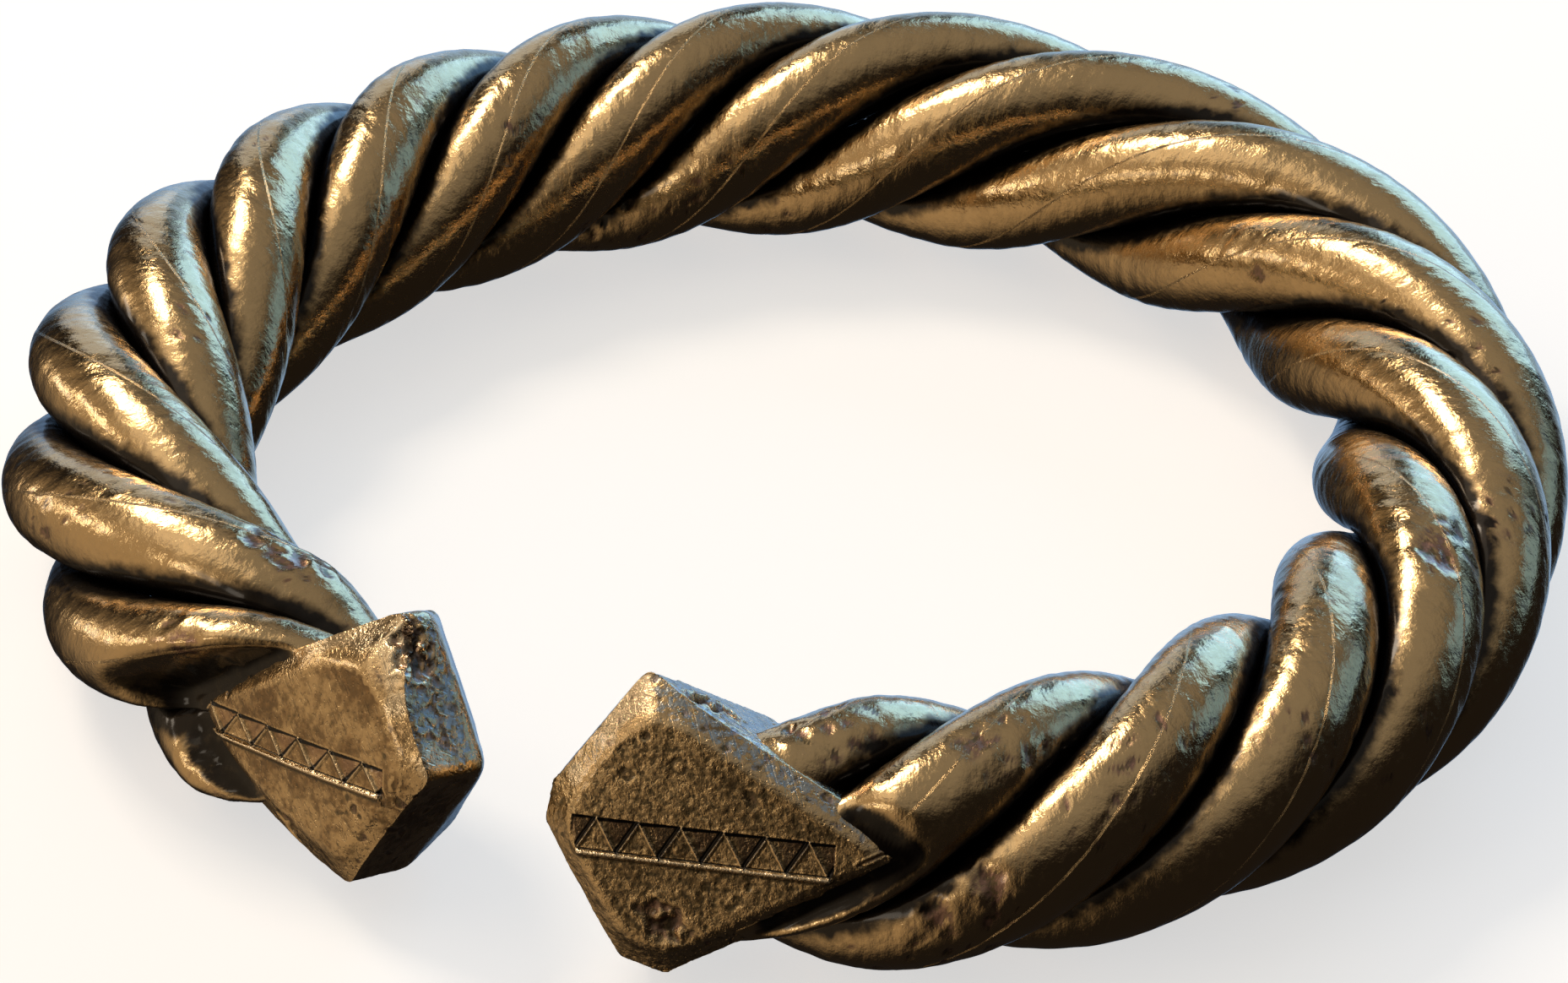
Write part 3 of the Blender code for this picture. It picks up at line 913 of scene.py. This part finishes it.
def blue_patina_and_sheen(normals, node, spec):
    """How much each point belongs to the facets with a blue-grey skin and a painted cool reflection, from
    0 to 1.
    """
    middle, nose_way, up_way, face_way = spec["axes"]
    way = np.array(COOL_PATINA_AND_SHEEN_WAY[node])
    cool_way = nose_way * way[0] + up_way * way[1] - face_way * way[2]
    return smooth_step(0.72, 0.90, normals @ (cool_way / np.linalg.norm(cool_way)))


def edge_polish_and_highlight(points, edge, cool_patina_and_sheen, node, spec):
    """How bright hands have worn each point along the edge of the face, with its painted highlight, from
    0 to 1.
    """
    worn = smooth_step(0.25, 0.7, edge + 0.25 * grain(points, WORN_AND_HIGHLIT_EDGE_GRAIN, 81.0))
    return worn * (0.2 + 0.8 * nearness(points, placed(spec, WORN_AND_HIGHLIT_EDGE[node]))) * (1 - 0.8 * cool_patina_and_sheen)


def knob_relief(points, row, pits, cool_patina_and_sheen, polished_and_highlit, facing, node):
    """Height of the fine relief at each point, without the single marks."""
    swell = grain(points, KNOB_SWELL_SIZE, 11.0)
    grit = grain(points, GRIT_SIZE, 61.0) + 0.6 * grain(points, FINE_GRIT_SIZE, 71.0)
    wavy = grain(points, WAVE_SIZE, 91.0)
    rough = FACE_GRIT[node] * (1 + COOL_GRIT[node] * cool_patina_and_sheen) * (1 - 0.9 * polished_and_highlit)
    rough = rough * (1 - 0.7 * smooth_step(0, 0.15 * MM, -row))
    waves = WAVE_DEPTH * (wavy - 0.5) * (1 - 0.8 * smooth_step(0, 0.1 * MM, np.abs(row)))
    relief = row * facing + KNOB_SWELL_DEPTH * (swell - 0.4)
    return relief - KNOB_PIT_DEPTH * pits * (1 - 0.5 * facing) + rough * (grit - 0.3) + waves


def make_knob(node, spec):
    block = fine_block(node, spec)
    points = points_of(block.data)
    face_way = spec["axes"][3]
    lower, edge = rounded_face(*knob_coordinates(points, spec), spec, node)
    points = points - face_way * lower[:, None]
    move_points(block.data, points)
    normals = normals_of(block.data)
    nose, up, depth = knob_coordinates(points, spec)
    facing = smooth_step(0.80, 0.95, normals @ face_way)
    row, dark, ridge_highlight = cut_lines(nose, up, node, spec)
    marks = dented(points, placed(spec, KNOB_MARKS[node]))
    polished_and_highlit = nearness(points, placed(spec, POLISHED_AND_HIGHLIT_PLACES[node]))
    cool_patina_and_sheen = blue_patina_and_sheen(normals, node, spec) * (1 - polished_and_highlit)
    worn_and_highlit_edge = edge_polish_and_highlight(points, edge, cool_patina_and_sheen, node, spec)
    # Polished places and worn edges, and a painted highlight on the foot line and the lips.
    polished_and_highlit = np.maximum(polished_and_highlit, np.maximum(0.85 * worn_and_highlit_edge, ridge_highlight * facing))
    pits = pitting(points, KNOB_PITS, 5.0, 0.75 * cool_patina_and_sheen)
    relief = marks + knob_relief(points, row, pits, cool_patina_and_sheen, polished_and_highlit, facing, node)
    move_points(block.data, points + normals * relief[:, None])
    block.data.shade_smooth()
    sore = 0.7 * smooth_step(0.05, 0.15, -marks / MM)
    hole = smooth_step(0.16, 0.40, -marks / MM)
    store(block.data, "pitted", np.maximum(pits * (1 - facing), sore))
    store(block.data, "cool_patina_and_sheen", cool_patina_and_sheen)
    store(block.data, "polished_and_highlit", polished_and_highlit)
    store(block.data, "cut", smooth_step(0.03, 0.12, -row * facing / MM))
    # Painted shadow in the corners of the cuts and under the foot, and the deep marks darker too.
    store(block.data, "crevice_shade_and_dirt", np.maximum(dark * facing, 0.5 * hole))
    store(block.data, "hollow", 0.5 + hollow_of(block.data, KNOB_HOLLOW_ROUNDS) / KNOB_HOLLOW_DEPTH)
    return block


knobs = {node: make_knob(node, spec) for node, spec in KNOBS.items()}
for node, piece in knobs.items():
    print(piece.name, triangle_count(piece), "triangles,",
          f"within {nearest_gap(piece, node) / MM:.2f} mm of its solid")

# %% [markdown]
# Old bronze.
# The bare metal is a warm gold-brown where hands and cleaning polished it, and darker where a
# thin patina stayed. Dirt and oxide fill the hollows, and dirt and painted shade darken the
# crevices. Worn edges and ridges carry painted highlights. One recipe mixes them by the numbers
# that the meshes carry, and smooth noise breaks up every border.

# %% Material recipe


class Recipe:
    """A short way to write a node tree: each call adds one node and gives back its output."""

    def __init__(self, name):
        self.material = bpy.data.materials.new(name)
        self.material.use_nodes = True
        self.tree = self.material.node_tree
        self.shader = self.tree.nodes["Principled BSDF"]

    def feed(self, socket, value):
        if isinstance(value, bpy.types.NodeSocket):
            self.tree.links.new(value, socket)
        elif isinstance(value, tuple) and len(value) == 3 and socket.type == "RGBA":
            socket.default_value = (*value, 1.0)
        else:
            socket.default_value = value

    def carried(self, name, output="Fac"):
        node = self.tree.nodes.new("ShaderNodeAttribute")
        node.attribute_name = name
        return node.outputs[output]

    def place(self):
        return self.tree.nodes.new("ShaderNodeTexCoord").outputs["Object"]

    def stretched(self, vector, scale, turn=(0.0, 0.0, 0.0)):
        node = self.tree.nodes.new("ShaderNodeMapping")
        node.vector_type = "TEXTURE" if any(turn) else "POINT"
        self.feed(node.inputs["Vector"], vector)
        node.inputs["Rotation"].default_value = turn
        node.inputs["Scale"].default_value = scale
        return node.outputs["Vector"]

    def cloud(self, vector, scale, detail=3.0, roughness=0.55):
        node = self.tree.nodes.new("ShaderNodeTexNoise")
        self.feed(node.inputs["Vector"], vector)
        node.inputs["Scale"].default_value = scale
        node.inputs["Detail"].default_value = detail
        node.inputs["Roughness"].default_value = roughness
        return node.outputs["Fac"]

    def between(self, value, low, high):
        """From 0 at the low value to 1 at the high one, with soft ends."""
        node = self.tree.nodes.new("ShaderNodeMapRange")
        node.interpolation_type = "SMOOTHSTEP"
        self.feed(node.inputs["Value"], value)
        node.inputs["From Min"].default_value = low
        node.inputs["From Max"].default_value = high
        return node.outputs["Result"]

    def maths(self, operation, first, second):
        node = self.tree.nodes.new("ShaderNodeMath")
        node.operation = operation
        self.feed(node.inputs[0], first)
        self.feed(node.inputs[1], second)
        return node.outputs["Value"]

    def plus(self, first, second):
        return self.maths("ADD", first, second)

    def minus(self, first, second):
        return self.maths("SUBTRACT", first, second)

    def times(self, first, second):
        return self.maths("MULTIPLY", first, second)

    def blend(self, factor, first, second):
        node = self.tree.nodes.new("ShaderNodeMix")
        node.data_type = "RGBA"
        self.feed(node.inputs["Factor"], factor)
        self.feed(node.inputs[6], first)
        self.feed(node.inputs[7], second)
        return node.outputs[2]

    def bumps(self, height, distance, below=None):
        node = self.tree.nodes.new("ShaderNodeBump")
        node.inputs["Distance"].default_value = distance
        self.feed(node.inputs["Height"], height)
        if below is not None:
            self.feed(node.inputs["Normal"], below)
        return node.outputs["Normal"]


GOLD = (0.90, 0.64, 0.33)
# pale polished gold, which also paints the highlights on worn edges and ridges
POLISH_AND_HIGHLIGHT_CREAM = (1.0, 0.80, 0.53)
BROWN = (0.44, 0.255, 0.105)
OLIVE = (0.15, 0.115, 0.058)
# near black, for dirt and painted shade in the crevices
SOOT_AND_SHADE = (0.014, 0.009, 0.006)
PINK = (0.46, 0.27, 0.205)
# blue-grey patina, pale enough to paint a cool reflection
SLATE_AND_SHEEN = (0.56, 0.61, 0.63)
print("colours of the metal run from", SOOT_AND_SHADE, "in the dirt to", POLISH_AND_HIGHLIGHT_CREAM, "where it is polished")

# %% [markdown]
# Colour and gloss of the bronze.
# Gold metal shows where the brown tarnish is thin, and olive stains lie over both. Hollows go
# olive, rises are rubbed back to gold, and polished edges to cream, which also paints their
# highlights and those of the ridges. Pits and fresh cuts are pinkish. Cool facets are slate, a
# blue-grey patina with a painted cool reflection. Crevices go near black with dirt and painted
# shade. Stains and dirt are also duller.

# %% Colour and gloss
CARRIED = ("hollow", "pitted", "crevice_shade_and_dirt", "cool_patina_and_sheen", "polished_and_highlit", "cut")


def ingredients(recipe):
    """The numbers that the mesh carries, and noise of several sizes, by name."""
    place = recipe.place()
    seen = {name: recipe.carried(name) for name in CARRIED}
    seen["fine"] = recipe.cloud(place, 900.0, 4.0)
    seen["flecks"] = recipe.cloud(place, 2300.0)
    seen["grit"] = recipe.cloud(place, 4200.0, 3.0, 0.65)
    broad = recipe.cloud(place, 190.0)
    patchy = recipe.plus(recipe.times(broad, 0.5), recipe.times(seen["fine"], 0.3))
    seen["patchy"] = recipe.plus(patchy, recipe.times(seen["flecks"], 0.2))
    return seen


def stain_mask(recipe, seen, tarnish):
    """Where the dark stains lie, in small patches that keep off polished places."""
    stain = recipe.plus(seen["patchy"], recipe.times(seen["flecks"], 0.35))
    stain = recipe.minus(stain, recipe.times(seen["polished_and_highlit"], 0.3))
    return recipe.between(stain, 0.70 - 0.25 * tarnish, 0.92 - 0.25 * tarnish)


def shade_and_dirt_mask(recipe, seen):
    """Where dirt and painted shade hide the metal: in crevices, and in some of the pits."""
    dirt_and_shade = recipe.plus(seen["crevice_shade_and_dirt"], recipe.times(seen["fine"], 0.6))
    return recipe.between(recipe.plus(dirt_and_shade, recipe.times(seen["pitted"], 0.3)), 0.70, 1.15)


def sore_mask(recipe, seen):
    """Where pits and cuts lay open the pinkish metal."""
    sore = recipe.times(seen["pitted"], recipe.between(seen["flecks"], 0.36, 0.58))
    return recipe.plus(sore, recipe.times(seen["cut"], 0.35))


def colour_and_gloss(recipe, seen, tarnish, stained, roughness):
    cover = recipe.minus(recipe.plus(seen["patchy"], tarnish - 0.5), recipe.times(seen["polished_and_highlit"], 0.25))
    stain = stain_mask(recipe, seen, tarnish)
    deep = recipe.between(recipe.plus(seen["hollow"], recipe.times(seen["fine"], 0.25)), 0.66, 0.90)
    slate_and_sheen = recipe.times(seen["cool_patina_and_sheen"], recipe.between(seen["flecks"], 0.40, 0.56))
    rub = recipe.between(seen["hollow"], 0.42, 0.22)
    worn = recipe.between(recipe.plus(seen["polished_and_highlit"], recipe.times(seen["fine"], 0.3)), 0.45, 1.1)
    dirt_and_shade = shade_and_dirt_mask(recipe, seen)
    metal = recipe.blend(recipe.between(cover, 0.42, 0.60), GOLD, BROWN)
    metal = recipe.blend(recipe.times(stain, stained), metal, OLIVE)
    metal = recipe.blend(recipe.times(deep, 0.85), metal, OLIVE)
    # Cool facets go slate: a blue-grey patina and a painted cool reflection.
    metal = recipe.blend(slate_and_sheen, metal, SLATE_AND_SHEEN)
    metal = recipe.blend(recipe.times(rub, 0.85), metal, GOLD)
    # Polished metal and painted highlights go cream.
    metal = recipe.blend(worn, metal, POLISH_AND_HIGHLIGHT_CREAM)
    metal = recipe.blend(sore_mask(recipe, seen), metal, PINK)
    # Dirt and painted shade turn the crevices near black.
    recipe.feed(recipe.shader.inputs["Base Color"], recipe.blend(dirt_and_shade, metal, SOOT_AND_SHADE))
    dull = recipe.plus(recipe.times(seen["flecks"], 0.22), recipe.times(deep, 0.12))
    dull = recipe.plus(dull, recipe.times(stain, 0.12))
    dull = recipe.plus(dull, recipe.times(dirt_and_shade, 0.25))
    dull = recipe.minus(dull, recipe.times(rub, 0.10))
    dull = recipe.minus(dull, recipe.times(seen["polished_and_highlit"], 0.16))
    recipe.feed(recipe.shader.inputs["Roughness"], recipe.plus(dull, roughness - 0.11))


print("the colour reads", len(CARRIED), "numbers that the meshes carry")

# %% [markdown]
# The finishes.
# Each finish is the same old bronze with its own share of tarnish and stain. A thin clear coat
# stands for the wax that keeps old bronze, and gives the pale core of the highlights. Relief
# too fine for the meshes is bump: grit, hammer marks on the rods, and scratches on the knobs.

# %% Old bronze finishes
FINE_DEPTH = 0.09 * MM
SCRATCH_DEPTH = 0.022 * MM
SCRATCH_TURNS = ((0.3, 0.9, 0.5), (0.9, -0.5, 1.9))


def scratches(recipe, place, turn):
    """Thin lines all one way, where the noise is drawn out very long."""
    drawn = recipe.stretched(place, (0.0080, 0.00022, 0.00022), turn)
    return recipe.between(recipe.cloud(drawn, 1.0, 1.0), 0.60, 0.70)


def fine_relief(recipe, seen, grit_depth, hammered_depth):
    """Grit, and over it hammer marks, or scratches where there are none."""
    normal = recipe.bumps(seen["grit"], grit_depth)
    normal = recipe.bumps(seen["fine"], FINE_DEPTH, normal)
    if hammered_depth:
        sheet = recipe.stretched(recipe.carried("course", "Vector"), (500.0, 1050.0, 420.0))
        return recipe.bumps(recipe.cloud(sheet, 1.0), hammered_depth, normal)
    place = recipe.place()
    lines = recipe.plus(*[scratches(recipe, place, turn) for turn in SCRATCH_TURNS])
    return recipe.bumps(lines, -SCRATCH_DEPTH, normal)


def old_bronze(name, tarnish, stained, roughness, grit_depth, hammered_depth=0.0):
    """Bronze with this much brown tarnish and dark stain on it, each from 0 to 1."""
    recipe = Recipe(name)
    seen = ingredients(recipe)
    colour_and_gloss(recipe, seen, tarnish, stained, roughness)
    recipe.feed(recipe.shader.inputs["Normal"], fine_relief(recipe, seen, grit_depth, hammered_depth))
    recipe.shader.inputs["Metallic"].default_value = 1.0
    recipe.shader.inputs["Coat Weight"].default_value = 0.7
    recipe.shader.inputs["Coat Roughness"].default_value = 0.13
    recipe.shader.inputs["Coat IOR"].default_value = 1.6
    return recipe.material


rod_finish = old_bronze("rod_old_bronze", tarnish=0.46, stained=0.50, roughness=0.24,
                        grit_depth=0.018 * MM, hammered_depth=0.06 * MM)
knob_finishes = {
    "left_knob": old_bronze("left_knob_bronze", tarnish=0.52, stained=0.50, roughness=0.22,
                            grit_depth=0.030 * MM),
    "right_knob": old_bronze("right_knob_bronze", tarnish=0.46, stained=0.85, roughness=0.25,
                             grit_depth=0.060 * MM),
}
print("finishes:", rod_finish.name, [finish.name for finish in knob_finishes.values()])

# %% [markdown]
# Dressing the pieces.
# Each fine piece gets its finish and rides on the ring's one body. It stands in for the solid
# of the same place, so that only one of the two is ever shown.

# %% Dress the pieces
for rod, piece in enumerate(rods):
    piece.data.materials.clear()
    piece.data.materials.append(rod_finish)
    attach(piece, "root")
    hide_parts(f"rod_{rod + 1}")
for node, piece in knobs.items():
    piece.data.materials.append(knob_finishes[node])
    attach(piece, "root")
    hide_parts(node)
print(len(rods) + len(knobs), "pieces are dressed")

# %% [markdown]
# The floor.
# The ring lies on a plain pale floor, which glows a little, so that it stays nearly white. The
# metal would mirror a white floor and lose its dark undersides. So the floor is hidden from
# mirror rays, and the dim room below shows in them instead.

# %% Floor
FLOOR_SIZE = 6.0
PALE = (0.86, 0.86, 0.86)


def make_floor():
    deselect_all()
    bpy.ops.mesh.primitive_plane_add(size=FLOOR_SIZE)
    floor = bpy.context.object
    floor.name = "floor"
    lowest = min(points_of(piece.data)[:, 2].min() for piece in rods + list(knobs.values()))
    flat = points_of(floor.data)
    flat[:, 2] = min(0.0, lowest)
    move_points(floor.data, flat)
    paint = Recipe("pale_floor")
    paint.shader.inputs["Base Color"].default_value = (*PALE, 1.0)
    paint.shader.inputs["Roughness"].default_value = 0.9
    paint.shader.inputs["Specular IOR Level"].default_value = 0.1
    paint.shader.inputs["Emission Color"].default_value = (1.0, 1.0, 1.0, 1.0)
    paint.shader.inputs["Emission Strength"].default_value = 0.62
    floor.data.materials.append(paint.material)
    floor.visible_glossy = False
    return floor


floor = make_floor()
print("lowest point of the ring:", round(floor.data.vertices[0].co.z / MM, 3), "mm")

# %% [markdown]
# The lamps.
# The highlights on the real rods tell where the lamps stood. A warm key hangs high behind on
# the left, with a broad dim lamp beside it. Small warm ones stand low on the left, where the
# worn edges of the knobs catch them, and large cool ones low behind and on the right.

# %% Lamps
LAMP_DISTANCE = 0.65
LAMPS = {
    # bearing and rise in degrees, size in metres, brightness and colour
    "warm_key": (-47, 52, (0.22, 0.18), 9.0, (1.0, 0.83, 0.64)),
    "warm_wide": (-80, 58, (0.64, 0.40), 0.46, (1.0, 0.84, 0.64)),
    "warm_side": (-82, 15, (0.18, 0.09), 2.9, (1.0, 0.86, 0.70)),
    "warm_low": (-65, 0, (0.14, 0.08), 2.8, (1.0, 0.86, 0.70)),
    "warm_front": (-128, 18, (0.18, 0.10), 1.8, (1.0, 0.88, 0.72)),
    "cool_back": (30, 20, (0.42, 0.46), 1.7, (0.30, 0.60, 1.0)),
    "cool_side": (78, 20, (0.30, 0.36), 0.45, (0.36, 0.66, 1.0)),
    "pale_back": (-15, 14, (0.26, 0.40), 0.5, (0.85, 0.92, 1.0)),
}


def lamp(name, bearing, rise, size, brightness, colour):
    """A flat lamp at this bearing, clockwise from straight behind, and this rise."""
    bearing, rise = math.radians(bearing), math.radians(rise)
    way = Vector((math.sin(bearing) * math.cos(rise), math.cos(bearing) * math.cos(rise), math.sin(rise)))
    data = bpy.data.lights.new(name, "AREA")
    data.shape = "RECTANGLE"
    data.size, data.size_y = size
    data.energy = brightness * math.pi * size[0] * size[1]
    data.color = colour
    thing = bpy.data.objects.new(name, data)
    thing.location = way * LAMP_DISTANCE
    thing.rotation_euler = way.to_track_quat("Z", "Y").to_euler()
    bpy.context.collection.objects.link(thing)
    return thing


for name, setting in LAMPS.items():
    lamp(name, *setting)
print(len(LAMPS), "lamps at", LAMP_DISTANCE, "m")

# %% [markdown]
# The room.
# Bare metal shows what it mirrors, so the room matters as much as the lamps. It is dark, with a
# brown glow from the left, a faint one from above and a blue one low behind. The camera itself
# sees a pale room, like the floor.

# %% Room
ROOM_DARK = (0.012, 0.010, 0.009)
ROOM_LEFT = (0.36, 0.27, 0.17)
ROOM_TOP = (0.22, 0.20, 0.17)
ROOM_BACK = (0.30, 0.50, 0.80)
ROOM_SEEN = (0.9, 0.9, 0.9)


def glow(tree, way, towards, low, high, colour):
    """Light of this colour from the part of the room that lies in this direction."""
    dot = tree.nodes.new("ShaderNodeVectorMath")
    dot.operation = "DOT_PRODUCT"
    dot.inputs[1].default_value = towards
    span = tree.nodes.new("ShaderNodeMapRange")
    span.interpolation_type = "SMOOTHSTEP"
    span.inputs["From Min"].default_value = low
    span.inputs["From Max"].default_value = high
    tint = tree.nodes.new("ShaderNodeMix")
    tint.data_type = "RGBA"
    tint.inputs[6].default_value = (0.0, 0.0, 0.0, 1.0)
    tint.inputs[7].default_value = (*colour, 1.0)
    tree.links.new(way, dot.inputs[0])
    tree.links.new(dot.outputs["Value"], span.inputs["Value"])
    tree.links.new(span.outputs["Result"], tint.inputs["Factor"])
    light = tree.nodes.new("ShaderNodeBackground")
    tree.links.new(tint.outputs[2], light.inputs["Color"])
    return light.outputs["Background"]


def sum_of(tree, first, second):
    both = tree.nodes.new("ShaderNodeAddShader")
    tree.links.new(first, both.inputs[0])
    tree.links.new(second, both.inputs[1])
    return both.outputs["Shader"]


def make_room():
    world = bpy.data.worlds.new("room")
    bpy.context.scene.world = world
    world.use_nodes = True
    tree = world.node_tree
    dark = tree.nodes["Background"]
    dark.inputs["Color"].default_value = (*ROOM_DARK, 1.0)
    way = tree.nodes.new("ShaderNodeTexCoord").outputs["Generated"]
    left = glow(tree, way, (-0.97, -0.22, -0.02), 0.30, 1.0, ROOM_LEFT)
    top = glow(tree, way, (0.0, 0.0, 1.0), 0.35, 1.0, ROOM_TOP)
    back = glow(tree, way, (0.20, 0.94, -0.28), 0.80, 0.98, ROOM_BACK)
    light = sum_of(tree, sum_of(tree, dark.outputs["Background"], left), sum_of(tree, top, back))
    pale = tree.nodes.new("ShaderNodeBackground")
    pale.inputs["Color"].default_value = (*ROOM_SEEN, 1.0)
    seen = tree.nodes.new("ShaderNodeLightPath")
    both = tree.nodes.new("ShaderNodeMixShader")
    tree.links.new(seen.outputs["Is Camera Ray"], both.inputs["Fac"])
    tree.links.new(light, both.inputs[1])
    tree.links.new(pale.outputs["Background"], both.inputs[2])
    tree.links.new(both.outputs["Shader"], tree.nodes["World Output"].inputs["Surface"])


make_room()
bpy.context.scene.view_settings.view_transform = "Standard"
print("the room is a mix of", len(bpy.context.scene.world.node_tree.nodes), "nodes")

# %% [markdown]
# The camera.
# The photograph was taken from in front and above, with a long lens. The lens, the distance
# and the small shift are those that lay the solid ring over the photographed one.

# %% Camera
PHOTO_WIDTH = 1857
PHOTO_HEIGHT = 1164
SENSOR = 36.0
LENS_PIXELS = 6849.4
AXIS_PIXEL = (936.4, 528.1)
CAMERA_RISE = math.radians(35.86)
CAMERA_DISTANCE = 0.350


def make_camera():
    back = np.array((0.0, -math.cos(CAMERA_RISE), math.sin(CAMERA_RISE)))
    deselect_all()
    bpy.ops.object.camera_add(location=RING_MIDDLE + back * CAMERA_DISTANCE,
                              rotation=(math.pi / 2 - CAMERA_RISE, 0, 0))
    camera = bpy.context.object
    camera.name = "camera"
    camera.data.sensor_width = SENSOR
    camera.data.lens = LENS_PIXELS / PHOTO_WIDTH * SENSOR
    camera.data.shift_x = (PHOTO_WIDTH / 2 - AXIS_PIXEL[0]) / PHOTO_WIDTH
    camera.data.shift_y = (AXIS_PIXEL[1] - PHOTO_HEIGHT / 2) / PHOTO_WIDTH
    camera.data.clip_start = 0.01
    bpy.context.scene.camera = camera
    return camera


camera = make_camera()
print(f"camera: {camera.data.lens:.1f} mm lens at {CAMERA_DISTANCE:.2f} m")
